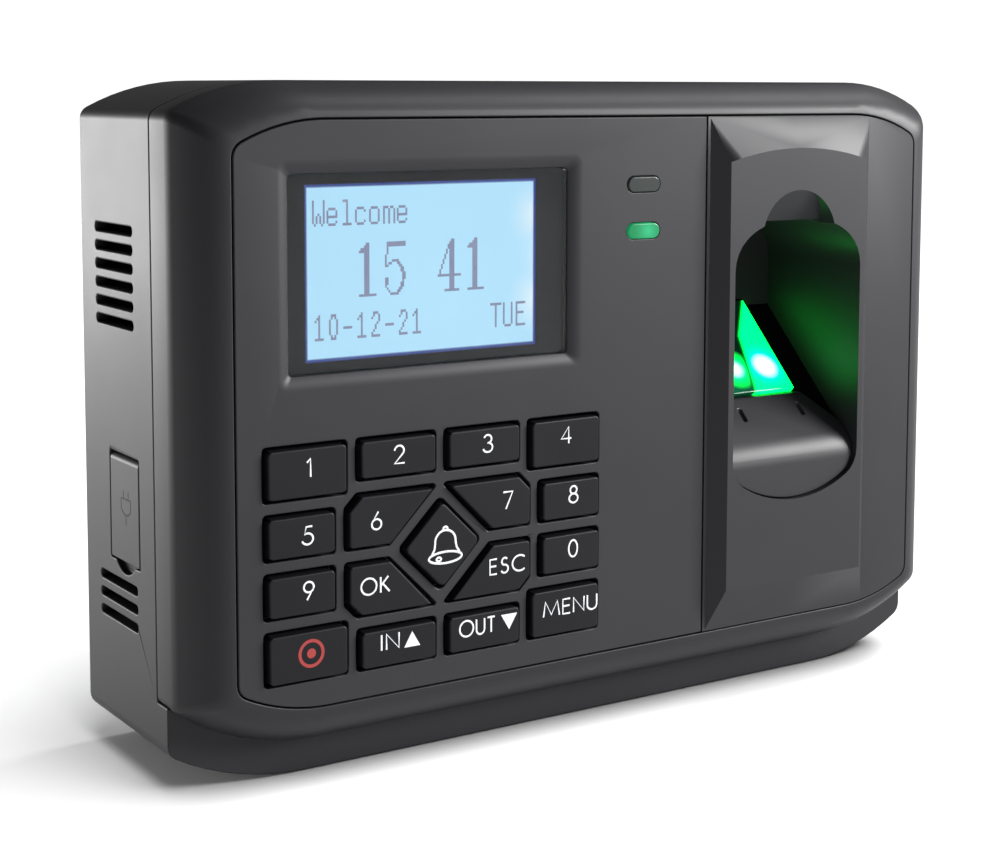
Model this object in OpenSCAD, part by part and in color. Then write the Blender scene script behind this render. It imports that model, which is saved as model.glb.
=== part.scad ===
// Wall-mounted fingerprint terminal: case, display, keypad, optical finger sensor and wall plate.
// X runs to the viewer's right, Y runs from the front to the wall, Z runs up.
// The origin is on the wall face, at mid width and mid height of the case.

/* [Case] */
// Width of the case
case_w = 180; // [176:1:190]
// Height of the case with its chin
case_h = 128.2; // [126:0.2:134]
// Depth from the wall to the front panels
case_d = 49; // [48:1:54]
// Depth of the rear case, from the wall to the seam with the front cover
seam_d = 34; // [32:1:35]
// Wall thickness of the mouldings
wall = 2.5; // [2:0.1:3]
// Height of the chin that shows below the front cover
chin_h = 6.9; // [5:0.1:9]
// Depth of the step where the chin comes forward under the cover
chin_step = 4.8; // [3:0.1:6]
// How far the front cover's sides slope in to the panels
slope_run = 9; // [7:0.5:11]
// How far the sloped frame falls back from the panels
slope_drop = 8.4; // [6:0.2:10]
// Width of the front cover's frame above the panels
frame_top = 6.8; // [5:0.1:9]
// Width of the front cover's frame below the panels
frame_bottom = 8.4; // [6:0.1:10]

/* [Front panels] */
// Thickness of the inset panels
panel_t = 2.5; // [2:0.1:3]
// Gap round the inset panels
panel_gap = 0.3; // [0.2:0.05:0.5]
// Width of the finger panel on the right
finger_panel_w = 57.1; // [54:0.1:60]

/* [Display] */
// Width of the display window
window_w = 60.1; // [58:0.1:62]
// Height of the display window
window_h = 35.9; // [34:0.1:38]
// Width of the sloped edge round the display window
window_bevel = 2.6; // [2:0.1:3.2]
// Depth of the display window below the panel
window_depth = 1.5; // [1:0.1:1.8]
// Width of the lit area
lit_w = 49.6; // [46:0.1:52]
// Height of the lit area
lit_h = 31.9; // [30:0.1:33]

/* [Status lights] */
// Length of a status lens
lens_w = 8; // [6:0.5:10]
// Height of a status lens
lens_h = 3.2; // [2.5:0.1:4]
// Distance between the two status lenses
lens_pitch = 9.2; // [8:0.1:11]

/* [Keypad] */
// Width of the keypad over all cutouts
keypad_w = 72.9; // [72:0.1:73.5]
// Height of the keypad over all cutouts
keypad_h = 43.4; // [43:0.1:44]
// Web between two cutouts in a row
web_x = 1.7; // [1.5:0.1:2]
// Web between two rows of cutouts
web_z = 2; // [1.8:0.1:2.2]
// Clearance between a key cap and its cutout
key_gap = 0.65; // [0.4:0.05:0.8]
// How far a key cap stands out of the panel
key_proud = 1.1; // [0.8:0.1:1.5]
// Travel of a key
key_travel = 0.9; // [0.5:0.1:1]
// Half diagonal of the cutout of the diamond key
diamond_r = 9.1; // [8.5:0.1:9.4]

/* [Finger sensor] */
// Height of the raised boss round the finger well
boss_h = 3; // [2:0.1:4]
// Width of the finger well
well_w = 34.3; // [32:0.1:35]
// Height of the finger well without its nail notch
well_h = 58.3; // [56:0.1:60]
// Radius of the nail notch above the finger well
notch_r = 10; // [8:0.1:11]
// Width of the prism that the finger lies on
prism_w = 19.5; // [16:0.1:21]
// Length of the prism along its slope
prism_l = 24.6; // [20:0.1:25]

/* [Side door and vents] */
// Width of the socket door, front to back
door_w = 14; // [13:0.1:15]
// Height of the socket door
door_h = 20.4; // [19:0.1:22]
// Thickness of the socket door
door_t = 1.8; // [1.5:0.1:2]
// Length of a vent slot
vent_l = 18; // [14:1:20]
// Height of a vent slot
vent_h = 1.65; // [1.2:0.05:2]
// Distance between two vent slots
vent_pitch = 3.44; // [3:0.02:4]

/* [Wall plate] */
// Width of the wall plate
plate_w = 150; // [130:1:156]
// Height of the wall plate
plate_h = 96; // [80:1:100]
// Thickness of the wall plate
plate_t = 1.5; // [1.2:0.1:2]
// Diameter of the holes for the wall screws
wall_hole_d = 4.5; // [4:0.1:5]
// Distance between the wall holes, sideways
wall_hole_x = 120; // [100:1:130]
// Distance between the wall holes, up
wall_hole_z = 64; // [50:1:70]
// Width of the cable entry
entry_w = 76; // [60:1:80]
// Height of the cable entry
entry_h = 28; // [24:1:30]

/* [Hidden] */
$fn = 48;

black_abs = "#2b2b2f";
key_black = "#1d1d20";
board_green = "#1f5a36";
steel = "#b9bdc2";

// Main planes, measured from the wall and from the middle of the case
face_y = -case_d;
seam_y = -seam_d;
frame_y = face_y + slope_drop;
chin_y = seam_y - chin_step;
top_z = case_h / 2;
bottom_z = -case_h / 2;
cover_bottom_z = bottom_z + chin_h;
panel_top_z = top_z - frame_top;
panel_bottom_z = cover_bottom_z + frame_bottom;
panel_x = case_w / 2 - slope_run;
chin_top_z = panel_bottom_z + 1.4;
seam_gap = 0.2;
rim_y = -0.4;
back_y = -3.2;
back_t = 2.8;
board_y = -15;
board_t = 1.6;
eps = 0.01;

// Corners of an outline: a small arc off the side runs into a wide arc that meets the edge.
// A corner is [reach of the wide arc, radius of the wide arc, radius of the small arc].
case_top_corner = [22, 45, 2.5];
cover_bottom_corner = [28, 45, 2.5];
case_bottom_corner = [27, 51, 3];
panel_corner = [18, 36, 3];

function arc_points(centre, r, from, to, n, first = 0) =
    [for (i = [first:n]) let (a = from + (to - from) * i / n) centre + r * [cos(a), sin(a)]];
function corner_points(c) =
    let (rise = c[1] - sqrt(pow(c[1] - c[2], 2) - pow(c[0] - c[2], 2)))
    let (meet = atan2(rise - c[1], c[2] - c[0]))
    concat(arc_points([c[2], rise], c[2], -180, meet, 4),
        arc_points([c[0], c[1]], c[1], meet, -90, 8, 1));
function turned(points) = [for (i = [len(points) - 1:-1:0]) points[i]];
// A frame is [left, right, bottom, top, bottom corner, top corner].
function frame_points(f) =
    let (low = corner_points(f[4]), high = corner_points(f[5]))
    concat([for (p = low) [f[0] + p[0], f[2] + p[1]]],
        turned([for (p = low) [f[1] - p[0], f[2] + p[1]]]),
        [for (p = high) [f[1] - p[0], f[3] - p[1]]],
        turned([for (p = high) [f[0] + p[0], f[3] - p[1]]]));
function inset_corner(c, d) = [c[0] - d, c[1] - d, max(c[2] - d, 0.4)];
function inset(f, d) =
    [f[0] + d, f[1] - d, f[2] + d, f[3] - d, inset_corner(f[4], d), inset_corner(f[5], d)];
function between(a, b, t) = [for (i = [0:len(a) - 1]) a[i] + (b[i] - a[i]) * t];

case_frame = [-case_w / 2, case_w / 2, bottom_z, top_z, case_bottom_corner, case_top_corner];
cover_frame = [-case_w / 2, case_w / 2, cover_bottom_z, top_z, cover_bottom_corner, case_top_corner];
panel_frame = [-panel_x, panel_x, panel_bottom_z, panel_top_z, panel_corner, panel_corner];

// The sloped frame bulges: each step is [share of the run, share of the drop left].
slope_curve = 2.3;
slope_steps = [for (t = [0, 0.08, 0.17, 0.28, 0.42, 0.6, 0.8, 1]) [t, pow(1 - t, slope_curve)]];

module along_y(from, to) {
    translate([0, to, 0]) rotate([90, 0, 0]) linear_extrude(to - from) children();
}

module along_x(from, to) {
    translate([from, 0, 0]) rotate([90, 0, 90]) linear_extrude(to - from) children();
}

module rounded_rect(w, h, r) {
    square([w - 2 * r, h], center = true);
    square([w, h - 2 * r], center = true);
    for (x = [-1, 1], z = [-1, 1]) translate([x * (w / 2 - r), z * (h / 2 - r)]) circle(r);
}

module block(x0, x1, y0, y1, z0, z1) {
    translate([x0, y0, z0]) cube([x1 - x0, y1 - y0, z1 - z0]);
}

// ---- Screws that close the case, from the back ----
screw_x = 83;
screw_z = [-38, 46];
screw_hole_d = 3.4;
screw_d = 2.9;
boss_d = 8;
tube_d = 9.4;
head_d = 6;
head_h = 2.2;
head_seat_y = -26;
boss_l = 8;
screw_l = head_h + 15;

module at_case_screws() {
    for (x = [-screw_x, screw_x], z = screw_z) translate([x, 0, z]) rotate([90, 0, 0]) children();
}

// ---- Side door, its hinge, and the vents on the side ----
side_x = -case_w / 2;
door_y = -20;
door_top_z = -4.7;
door_bottom_z = door_top_z - door_h;
barrel_r = 1.25;
hinge_x = side_x + barrel_r;
hinge_z = door_top_z - 1.6;
door_pin_d = 1.4;
door_gap = 0.25;
lug_w = 2.2;
door_pin_l = door_w + 2 * lug_w;
thumb_r = 6;
thumb_rise = 4;
vent_y = -16.6;
vent_first_z = [36.9, -29.3];
vent_count = [6, 3];

module vents(side) {
    for (g = [0, 1], i = [0:vent_count[g] - 1])
        translate([side * case_w / 2, vent_y, vent_first_z[g] - i * vent_pitch])
            rotate([0, 90, 0]) linear_extrude(3 * wall, center = true)
                rounded_rect(vent_h, vent_l, vent_h / 2 - eps);
}

// ---- Cable entry in the back, with the sockets behind it ----
entry_z = -28;
socket_z = -26;
network_x = 13;

module rear_case() {
    color(black_abs) difference() {
        union() {
            along_y(seam_y, rim_y) polygon(frame_points(case_frame));
            intersection() {
                along_y(chin_y + seam_gap, seam_y + eps) polygon(frame_points(case_frame));
                block(-case_w, case_w, chin_y, seam_y + eps, 2 * bottom_z, chin_top_z - seam_gap);
            }
        }
        along_y(seam_y - eps, back_y - back_t) polygon(frame_points(inset(case_frame, wall)));
        along_y(back_y, eps) polygon(frame_points(inset(case_frame, wall)));
        intersection() {
            along_y(chin_y + wall, seam_y) polygon(frame_points(inset(case_frame, wall)));
            block(-case_w, case_w, chin_y, seam_y, 2 * bottom_z, chin_top_z);
        }
        intersection() {
            along_y(chin_y - 1, seam_y) polygon(frame_points(inset(cover_frame, wall)));
            block(-case_w, case_w, chin_y - 1, seam_y, 2 * bottom_z, chin_top_z + 1);
        }
        // cable entry
        translate([0, 0, entry_z]) along_y(back_y - back_t - 1, back_y + 1) rounded_rect(entry_w, entry_h, 3);
        // room for the heads of the wall screws
        at_wall_screws() cylinder(d = 2.4 * wall_hole_d, h = 30, center = true);
        // door opening, with the thumb notch below it
        block(side_x - 1, side_x + wall + 1, door_y - door_w / 2, door_y + door_w / 2,
            door_bottom_z, door_top_z);
        translate([side_x, door_y, door_bottom_z + thumb_rise])
            rotate([0, 90, 0]) cylinder(r = thumb_r, h = 2 * door_t - 1, center = true);
        vents(-1);
        vents(1);
        at_case_screws() cylinder(d = head_d + 0.6, h = -back_y + back_t + 1);
        at_tamper() cylinder(d = plunger_d + 0.8, h = 20, center = true);
        // slots that hang on the hooks by their upper edge, and the slot for the plate's lip
        for (x = [-hook_x, hook_x], z = hook_z)
            translate([x, 0, z + hook_t / 2 + hook_fit - hook_slot_h / 2])
                along_y(back_y - back_t - 1, back_y + 1) rounded_rect(hook_w + 2, hook_slot_h, 1);
        block(-lip_w / 2 - 1, lip_w / 2 + 1, back_y - back_t - 1, back_y + 1,
            -plate_h / 2 - 1.2, -plate_h / 2 + plate_t + 1.2);
        // locking screw, with its head sunk in the bottom wall
        translate([0, plate_screw_y, bottom_z - 1]) {
            cylinder(d = screw_hole_d, h = 20);
            cylinder(d = plate_head_d + 0.5, h = plate_head_h + 1.1);
        }
        // pin of the side door
        translate([hinge_x, door_y, hinge_z]) rotate([90, 0, 0])
            cylinder(d = door_pin_d, h = door_pin_l, center = true);
    }
    // thicker wall behind both ends of the door's pin
    color(black_abs) for (y = [door_y - door_w / 2 - lug_w, door_y + door_w / 2])
        block(side_x + wall - eps, side_x + wall + 2, y, y + lug_w, hinge_z - 2.2, hinge_z + 2.4);
    // pad inside the bottom wall for the locking screw
    color(black_abs) difference() {
        translate([0, plate_screw_y, bottom_z + wall - eps]) cylinder(d = 8, h = 3);
        translate([0, plate_screw_y, bottom_z]) cylinder(d = screw_hole_d, h = 20);
    }
    // tubes for the case screws, with a seat for the head deep inside
    color(black_abs) at_case_screws() difference() {
        translate([0, 0, -back_y + back_t - eps]) cylinder(d = tube_d, h = seam_d + back_y - back_t);
        translate([0, 0, 1]) cylinder(d = head_d + 0.6, h = -head_seat_y - 1);
        cylinder(d = screw_hole_d, h = case_d);
    }
    // posts for the main board
    color(black_abs) at_board_screws() translate([0, 0, -back_y + back_t - eps]) difference() {
        cylinder(d = 6, h = -board_y + back_y - back_t + eps);
        translate([0, 0, 0.5]) cylinder(d = 2.6, h = seam_d);
    }
}

module front_cover() {
    color(black_abs) difference() {
        union() {
            hull() for (s = slope_steps) along_y(face_y + s[1] * slope_drop, face_y + s[1] * slope_drop + eps)
                polygon(frame_points(between(cover_frame, panel_frame, s[0])));
            along_y(frame_y, seam_y - seam_gap) polygon(frame_points(cover_frame));
        }
        along_y(face_y - 1, seam_y) polygon(frame_points(inset(panel_frame, -panel_gap / 2)));
        along_y(frame_y + wall / 2, seam_y) polygon(frame_points(inset(cover_frame, wall)));
        block(-case_w, case_w, chin_y, seam_y, 2 * bottom_z, chin_top_z);
        at_case_screws() cylinder(d = screw_d + 0.1, h = seam_d + boss_l);
    }
    // ledge that the two panels rest on
    color(black_abs) difference() {
        along_y(face_y + panel_t, face_y + panel_t + 2) polygon(frame_points(inset(panel_frame, -0.8)));
        along_y(face_y, seam_y) polygon(frame_points(inset(panel_frame, 1.8)));
    }
    // screw bosses behind the sloped frame
    color(black_abs) at_case_screws() translate([0, 0, seam_d + seam_gap]) difference() {
        cylinder(d = boss_d, h = boss_l);
        translate([0, 0, -seam_gap]) cylinder(d = screw_d + 0.1, h = boss_l);
    }
}

// ---- Keypad layout ----
// A key is [column, row, name]; columns and rows count from the top left.
keypad_x = -39.5;
keypad_z = -22;
half_w = keypad_w / 2;
half_h = keypad_h / 2;
outer_key_w = (keypad_w - 3 * web_x) / 4;
narrow_key_w = 14.5;
tall_key_h = 10.1;
short_key_h = 8.1;
cut_r = 11.9;
corner_cut = 2.8;
key_r = 0.8;

function key_left(col, row) =
    (row == 0 || row == 3)
        ? -half_w + col * (outer_key_w + web_x)
        : [-half_w, -half_w + narrow_key_w + web_x, web_x / 2, half_w - narrow_key_w][col];
function key_right(col, row) =
    (row == 0 || row == 3)
        ? -half_w + col * (outer_key_w + web_x) + outer_key_w
        : [-half_w + narrow_key_w, -web_x / 2, half_w - narrow_key_w - web_x, half_w][col];
function is_outer(col) = col == 0 || col == 3;
function upper_span(col, row) =
    row == 0
        ? [half_h - (is_outer(col) ? tall_key_h : short_key_h), half_h]
        : [web_z / 2, half_h - web_z - (is_outer(col) ? tall_key_h : short_key_h)];
function key_span(col, row) =
    row < 2 ? upper_span(col, row) : let (s = upper_span(col, 3 - row)) [-s[1], -s[0]];

module key_outline(col, row, gap) {
    span = key_span(col, row);
    left = key_left(col, row) + gap;
    right = key_right(col, row) - gap;
    low = span[0] + gap;
    high = span[1] - gap;
    inner = !is_outer(col) && (row == 1 || row == 2);
    difference() {
        translate([(left + right) / 2, (low + high) / 2]) rounded_rect(right - left, high - low, key_r);
        if (inner) rotate(45) square((cut_r + gap * sqrt(2)) * sqrt(2), center = true);
        if (inner) {
            side = col == 1 ? -1 : 1;
            up = row == 1 ? 1 : -1;
            translate([side < 0 ? left : right, up > 0 ? high : low]) rotate(45)
                square(corner_cut * sqrt(2) * 0.9, center = true);
        }
    }
}

module diamond_outline(gap) {
    rotate(45) rounded_rect(diamond_r * sqrt(2) - 2 * gap, diamond_r * sqrt(2) - 2 * gap, 1.2);
}

flange = 0.6;
flange_t = 0.8;
flange_gap = 0.25;
key_front_y = face_y - key_proud;
flange_y = face_y + panel_t + flange_gap;

module key_cap(col, row) {
    color(key_black) translate([keypad_x, 0, keypad_z]) {
        along_y(key_front_y, flange_y + eps) key_outline(col, row, key_gap);
        along_y(flange_y, flange_y + flange_t) key_outline(col, row, key_gap - flange);
    }
}

module key_bell() {
    color(key_black) translate([keypad_x, 0, keypad_z]) {
        along_y(key_front_y, flange_y + eps) diamond_outline(key_gap);
        along_y(flange_y, flange_y + flange_t) diamond_outline(key_gap - flange);
    }
}

// ---- Front panel with the display, the status lights and the keys ----
window_x = -39.9;
window_z = 29.6;
lens_x = 7.5;
lens_z = 39.35;
panel_right = panel_x - finger_panel_w - 2 * panel_gap;

// Posts for small screws: [x, z]
keypad_posts = [[-74, 3.8], [keypad_x, 3.8], [3, 3.8], [3, -40], [18, 46]];
display_posts = [for (x = [-34.2, 34.2], z = [-20.5, 20.5]) [window_x + x, window_z + z]];
post_d = 3;
pilot_d = 1.7;
small_hole_d = 2.2;
small_screw_l = 5;
small_head_h = 1.2;

module post(from, to) {
    along_y(from, to) difference() {
        circle(d = post_d);
        circle(d = pilot_d);
    }
}

module panel_frame_part(from, to) {
    intersection() {
        polygon(frame_points(inset(panel_frame, panel_gap / 2)));
        translate([from, -case_h]) square([to - from, 2 * case_h]);
    }
}

module front_panel() {
    color(black_abs) difference() {
        along_y(face_y, face_y + panel_t) panel_frame_part(-case_w, panel_right);
        // recess round the display window, with sloped edges
        translate([window_x, face_y, window_z]) {
            along_y(-1, panel_t + 1) rounded_rect(window_w, window_h, 0.8);
            hull() {
                along_y(-eps, 0) rounded_rect(window_w + 2 * window_bevel, window_h + 2 * window_bevel, 1.6);
                along_y(window_depth - eps, window_depth) rounded_rect(window_w, window_h, 0.8);
            }
        }
        for (s = [-0.5, 0.5]) translate([lens_x, 0, lens_z + s * lens_pitch])
            along_y(face_y - 1, face_y + panel_t + 1) rounded_rect(lens_w, lens_h, lens_h / 2 - eps);
        translate([keypad_x, 0, keypad_z]) along_y(face_y - 1, face_y + panel_t + 1) {
            for (col = [0:3], row = [0:3]) key_outline(col, row, 0);
            diamond_outline(0);
        }
    }
    // posts for the keypad board and the display board
    color(black_abs) {
        for (p = keypad_posts) translate([p[0], 0, p[1]]) post(face_y + panel_t - eps, keypad_board_y);
        for (p = display_posts) translate([p[0], 0, p[1]]) post(face_y + panel_t - eps, display_board_y);
    }
}

window_y = face_y + window_depth;
window_t = 1.2;
glass_y = window_y + window_t + 0.3;
glass_t = 2.4;
light_t = 3;
glass_w = lit_w + 8.4;
glass_h = lit_h + 4.1;
bezel_t = 2.8;
display_board_y = glass_y + glass_t + light_t;

module display_window() {
    color("#15181c") translate([window_x, 0, window_z])
        along_y(window_y, window_y + window_t) rounded_rect(window_w - 0.3, window_h - 0.3, 0.8);
}

bezel_open = [glass_w + 0.4, glass_h + 0.4];

module display_frame() {
    color(steel) translate([window_x, 0, window_z]) difference() {
        along_y(glass_y, glass_y + glass_t + light_t)
            square(bezel_open + [2 * bezel_t, 2 * bezel_t], center = true);
        along_y(glass_y - 1, glass_y + glass_t + light_t + 1) square(bezel_open, center = true);
    }
}

module display_glass() {
    color("#b8e6ff") translate([window_x, 0, window_z])
        along_y(glass_y, glass_y + glass_t) square([glass_w, glass_h], center = true);
}

module display_backlight() {
    color("white") translate([window_x, 0, window_z])
        along_y(glass_y + glass_t, glass_y + glass_t + light_t) square([glass_w, glass_h], center = true);
}

module display_board() {
    color(board_green) along_y(display_board_y, display_board_y + board_t) difference() {
        translate([window_x, window_z]) square([72, 46], center = true);
        for (p = display_posts) translate(p) circle(d = small_hole_d);
    }
}

// ---- Keypad parts behind the panel ----
mat_y = flange_y + flange_t + key_travel + 0.15;
dome_h = 1.2;
mat_t = 1;
keypad_board_y = mat_y + dome_h + mat_t;

module keypad_mat() {
    color("#8f9296") translate([keypad_x, 0, keypad_z]) {
        along_y(mat_y + dome_h, keypad_board_y) rounded_rect(keypad_w + 2, keypad_h + 2, 2);
        along_y(mat_y, mat_y + dome_h + eps) {
            for (col = [0:3], row = [0:3]) {
                span = key_span(col, row);
                translate([(key_left(col, row) + key_right(col, row)) / 2, (span[0] + span[1]) / 2])
                    circle(d = 5);
            }
            circle(d = 5);
        }
    }
}

module keypad_board() {
    color(board_green) along_y(keypad_board_y, keypad_board_y + board_t) difference() {
        intersection() {
            polygon(frame_points(inset(panel_frame, 2.4)));
            union() {
                translate([-80, -48]) square([101, 54]);
                translate([-1, 0]) square([22, 50]);
            }
        }
        for (p = keypad_posts) translate(p) circle(d = small_hole_d);
    }
}

module status_lens(s) {
    translate([lens_x, 0, lens_z + s * lens_pitch / 2]) {
        along_y(face_y - 0.3, face_y + panel_t + eps)
            rounded_rect(lens_w - 0.2, lens_h - 0.2, (lens_h - 0.2) / 2 - eps);
        along_y(face_y + panel_t, face_y + panel_t + 1)
            rounded_rect(lens_w + 1.6, lens_h + 1.6, (lens_h + 1.6) / 2 - eps);
    }
}

module status_lens_upper() { color("#9a9ca0") status_lens(1); }

module status_lens_lower() { color("#35d06a") status_lens(-1); }

module status_leds() {
    color("white") for (s = [-1, 1]) translate([lens_x, 0, lens_z + s * lens_pitch / 2])
        along_y(keypad_board_y - 1.8, keypad_board_y) square([3.5, 2.8], center = true);
}

// ---- Finger panel with its boss and well ----
well_x = 45.85;
well_bottom_z = -22.9;
well_top_z = well_bottom_z + well_h;
well_frame = [well_x - well_w / 2, well_x + well_w / 2, well_bottom_z, well_top_z,
    [well_w / 2, 28, 6], [12, 14, 8.5]];
notch_z = well_top_z + 6.5 - notch_r;
boss_y = face_y - boss_h;
// The notch leaves a skin of the panel under it
notch_floor_y = face_y + panel_t - 0.9;
shroud_t = 1.6;
well_back_y = -22.4;
// The finger lies on a slope of 45 degrees, on the plane y = z + ramp
ramp = -38.4;
boss_left = panel_right + 2 * panel_gap + 0.4;
boss_right = 67.7;
plateau_left = 27.3;
plateau_right = 64.3;
plateau_bottom = -40;
plateau_side_top = 48;
plateau_crown = 2.6;

module plateau_outline() {
    half = (plateau_right - plateau_left) / 2;
    r = (half * half + plateau_crown * plateau_crown) / (2 * plateau_crown);
    sweep = asin(half / r);
    polygon(concat([[plateau_left, plateau_bottom], [plateau_right, plateau_bottom]],
        arc_points([plateau_left + half, plateau_side_top + plateau_crown - r], r,
            90 - sweep, 90 + sweep, 12)));
}

module finger_cover() {
    color(black_abs) difference() {
        union() {
            along_y(face_y, face_y + panel_t) panel_frame_part(panel_right + panel_gap, case_w);
            hull() {
                along_y(boss_y, boss_y + eps) plateau_outline();
                along_y(face_y, face_y + 1) translate([boss_left, panel_bottom_z + 0.5])
                    square([boss_right - boss_left, panel_top_z - panel_bottom_z - 1]);
            }
            along_y(face_y + 1, well_back_y + shroud_t) polygon(frame_points(inset(well_frame, -shroud_t)));
        }
        along_y(boss_y - 1, well_back_y) polygon(frame_points(well_frame));
        // nail notch, which slopes in to the top of the well
        intersection() {
            translate([well_x, 0, notch_z]) along_y(boss_y - 1, face_y + 8) circle(notch_r);
            along_x(well_x - 2 * notch_r, well_x + 2 * notch_r)
                polygon([[boss_y - 1, well_top_z - 8], [notch_floor_y, well_top_z - 8],
                    [notch_floor_y, well_top_z], [boss_y, notch_z + notch_r],
                    [boss_y - 1, notch_z + notch_r]]);
        }
        // room for the sensor housing behind the slope
        along_x(well_x - well_w, well_x + well_w)
            polygon([[face_y + panel_t, well_bottom_z - 5], [face_y + panel_t, face_y + panel_t - ramp - 1.5],
                [well_back_y + 1.5, well_back_y - ramp], [well_back_y + 8, well_back_y - ramp],
                [well_back_y + 8, well_bottom_z - 5]]);
        block(well_x - prism_w / 2 - 0.3, well_x + prism_w / 2 + 0.3, well_back_y - 1, well_back_y + 8,
            well_back_y - ramp - 6, well_back_y - ramp);
    }
    // posts for the sensor board
    color(black_abs) for (p = sensor_posts) translate([p[0], 0, p[1]])
        post(well_back_y + shroud_t - eps, housing_back_y);
}

guide_gap = 0.2;
guide_face_y = boss_y + 1;
// The ridge is a round that runs from the face of the guide into its slope
ridge_r = 8;
ridge_z = guide_face_y - ramp - ridge_r * tan(22.5);
ridge_points = [for (a = [0 : 5 : 45]) [guide_face_y + ridge_r * (1 - cos(a)), ridge_z + ridge_r * sin(a)]];
ridge_top_z = ridge_z + ridge_r * sin(45);
guide_top_z = -2.6;

module finger_guide() {
    color(black_abs) difference() {
        intersection() {
            along_y(guide_face_y - 1, face_y + 12) polygon(frame_points(inset(well_frame, guide_gap)));
            along_x(well_x - well_w, well_x + well_w)
                polygon(concat([[guide_face_y, well_bottom_z - 1]], ridge_points, [
                    [guide_top_z + ramp, guide_top_z],
                    [guide_top_z + ramp + 1.3, guide_top_z],
                    [face_y + panel_t + 0.3, face_y + panel_t - ramp - 1],
                    [face_y + panel_t + 0.3, well_bottom_z - 1]]));
            // the tongue narrows to the prism above its ridge
            along_y(guide_face_y - 1, face_y + 12) union() {
                translate([well_x - well_w / 2, well_bottom_z - 1])
                    square([well_w, ridge_top_z - well_bottom_z + 1]);
                translate([well_x, ridge_top_z - 0.5]) intersection() {
                    circle(r = well_w / 2 + 0.5);
                    translate([-well_w, 0]) square([2 * well_w, 10]);
                    rotate(45) square(2 * 13.4, center = true);
                }
            }
        }
        for (s = [-1, 1]) translate([well_x + 8 * s, guide_top_z - 3 + ramp, guide_top_z - 3])
            rotate([-45, 0, 0]) cube([1, 1.2, 3.2], center = true);
    }
}

// ---- Optical sensor behind the slope ----
housing_w = 37;
housing_face = 1.5;
housing_low_z = -18;
housing_top_z = well_back_y - ramp - 0.4;
housing_back_y = -18.5;
sensor_board_w = 36;
sensor_board_low = -22;
sensor_posts = [for (x = [-13, 13]) [well_x + x, 22.5]];
prism_mid_z = 7;
prism_t = 7;

module prism_solid(extra) {
    translate([well_x, prism_mid_z + ramp, prism_mid_z]) rotate([-45, 0, 0])
        along_x(-prism_w / 2 - extra, prism_w / 2 + extra)
            polygon([[0, -prism_l / 2 - extra], [0, prism_l / 2 + extra], [2, prism_l / 2 + extra],
                [prism_t + extra, -prism_l / 2 + 6], [prism_t + extra, -prism_l / 2 - extra]]);
}

module sensor_housing() {
    color("#121214") difference() {
        along_x(well_x - housing_w / 2, well_x + housing_w / 2)
            polygon([[housing_low_z + ramp + 12, housing_low_z],
                [housing_low_z + ramp + 12, housing_low_z + 12 - housing_face],
                [housing_top_z + ramp + housing_face, housing_top_z],
                [housing_back_y, housing_top_z], [housing_back_y, housing_low_z]]);
        prism_solid(0.15);
        block(well_x - 8, well_x + 8, -34, housing_back_y + 1, -14, 2);
    }
}

module sensor_prism() {
    color("#4be3c0") prism_solid(0);
}

module sensor_camera() {
    color("#202226") translate([well_x, housing_back_y, -6]) rotate([90, 0, 0]) {
        translate([-5, -5, 0]) cube([10, 10, 4]);
        cylinder(d = 7, h = 9);
    }
}

module sensor_board() {
    color(board_green) along_y(housing_back_y, housing_back_y + board_t)
        translate([well_x, 0]) difference() {
            translate([-sensor_board_w / 2, sensor_board_low]) square([sensor_board_w, 48]);
            for (p = sensor_posts) translate([p[0] - well_x, p[1]]) circle(d = small_hole_d);
        }
}

// ---- Main board and what stands on it ----
main_x = [-84, 22];
main_z = [-50, 50];
board_screw_x = [-64, 16];
board_screw_z = [-10, 42];

module at_board_screws() {
    for (x = board_screw_x, z = board_screw_z) translate([x, 0, z]) rotate([90, 0, 0]) children();
}

module main_board() {
    color(board_green) difference() {
        block(main_x[0], main_x[1], board_y - board_t, board_y, main_z[0], main_z[1]);
        at_board_screws() cylinder(d = 3.2, h = 60, center = true);
        at_case_screws() cylinder(d = tube_d + 1, h = 60, center = true);
    }
}

module processor() {
    color("#26282c") block(-30, -14, board_y - board_t - 1.6, board_y - board_t, 2, 18);
}

module memory_chips() {
    color("#26282c") for (z = [0, 12]) block(-8, 2, board_y - board_t - 1.2, board_y - board_t, z, z + 7);
}

module battery_holder() {
    color("#3a3c40") translate([-52, board_y - board_t, -30]) rotate([90, 0, 0]) difference() {
        cylinder(d = 23, h = 4);
        translate([0, 0, 0.8]) cylinder(d = 20.2, h = 5);
    }
}

module backup_battery() {
    color(steel) translate([-52, board_y - board_t - 0.8, -30]) rotate([90, 0, 0]) cylinder(d = 20, h = 3.2);
}

module buzzer() {
    color("#151517") translate([-64, board_y - board_t, 26]) rotate([90, 0, 0]) difference() {
        cylinder(d = 16, h = 8);
        translate([0, 0, 6]) cylinder(d = 3, h = 3);
    }
}

module network_socket() {
    color(steel) difference() {
        block(network_x - 8, network_x + 8, board_y, board_y + 11.5, socket_z - 9, socket_z + 9);
        block(network_x - 6, network_x + 6, board_y + 2, board_y + 9.5, socket_z - 10, socket_z + 4);
    }
}

module terminals(x, ways) {
    pitch = 5;
    difference() {
        block(x, x + ways * pitch, board_y, board_y + 10, socket_z - 5, socket_z + 5);
        for (i = [0:ways - 1]) {
            translate([x + (i + 0.5) * pitch, 0, socket_z + 1]) rotate([90, 0, 0])
                cylinder(d = 3, h = 20, center = true);
            block(x + i * pitch + 1, x + (i + 1) * pitch - 1, board_y + 2, board_y + 7,
                socket_z - 6, socket_z - 2);
        }
    }
}

module power_terminals() { color("#2f7d4a") terminals(-34, 3); }

module lock_terminals() { color("#2f7d4a") terminals(-16, 4); }

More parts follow.
